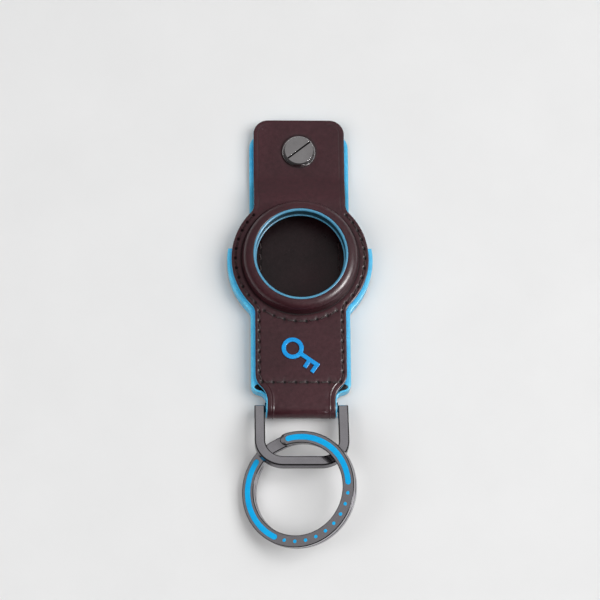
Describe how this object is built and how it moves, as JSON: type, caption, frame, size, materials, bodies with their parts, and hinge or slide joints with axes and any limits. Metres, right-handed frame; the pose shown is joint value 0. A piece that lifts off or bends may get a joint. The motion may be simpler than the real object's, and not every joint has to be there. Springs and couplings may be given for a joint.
{
  "type": "tracker tag holder",
  "caption": "Folded leather holder for a round tracker tag, with a moulded window bezel, blue painted edges, a slotted tab screw, a flat D ring and an enamelled split key ring.",
  "frame": {"origin": "on the flat back face, under the centre of the round part of the front panel", "axes": "+Z out of the front panel towards the window's face, +Y from the key ring towards the closed tab, +X to the right when looking at the front"},
  "size_m": [0.044, 0.1339, 0.0153],
  "materials": {
    "leather": "smooth semi-gloss",
    "lining": "smooth matt",
    "edge_paint": "satin edge paint",
    "core": "matt",
    "thread": "waxed thread",
    "enamel": "gloss",
    "emblem": "satin",
    "gunmetal": "polished dark"
  },
  "bodies": {
    "holder": {"strap_leather": "leather", "strap_lining": "lining", "strap_edge_paint": "edge_paint", "gusset": "leather", "gusset_edge_paint": "edge_paint", "bezel_core": "core", "window_rim_paint": "edge_paint", "lower_rim_paint": "edge_paint", "side_stitches": "thread", "upper_stitches": "thread", "arc_stitches": "thread", "bottom_stitches": "thread", "rear_stitches": "thread", "inner_stitches": "thread", "emblem": "emblem"},
    "screw": {"binding_screw": "gunmetal"},
    "post": {"screw_post": "gunmetal"},
    "dee": {"d_ring": "gunmetal"},
    "key_ring": {"split_ring": "gunmetal", "enamel_top": "enamel", "enamel_left": "enamel", "enamel_dots": "enamel"}
  },
  "joints": [
    {"name": "d_ring_swing", "type": "hinge", "parent": "holder", "child": "dee", "pos_m": [0, -0.0455, 0.0034], "axis": [-1, 0, 0], "range_deg": [-120, 100]},
    {"name": "split_ring_turn", "type": "hinge", "parent": "dee", "child": "key_ring", "pos_m": [-0.001, -0.07137, 0.00763], "axis": [-0.358, 0, 0.9337], "continuous": true},
    {"name": "post_turn", "type": "hinge", "parent": "holder", "child": "post", "pos_m": [0, 0.0349, 0], "axis": [0, 0, -1], "range_deg": [0, 1440]},
    {"name": "screw_lift", "type": "slide", "parent": "holder", "child": "screw", "axis": [0, 0, 1], "range_m": [0, 0.002]}
  ],
  "couplings": [
    {"joint": "post_turn", "follows": "screw_lift", "rad_per_m": 12566}
  ]
}
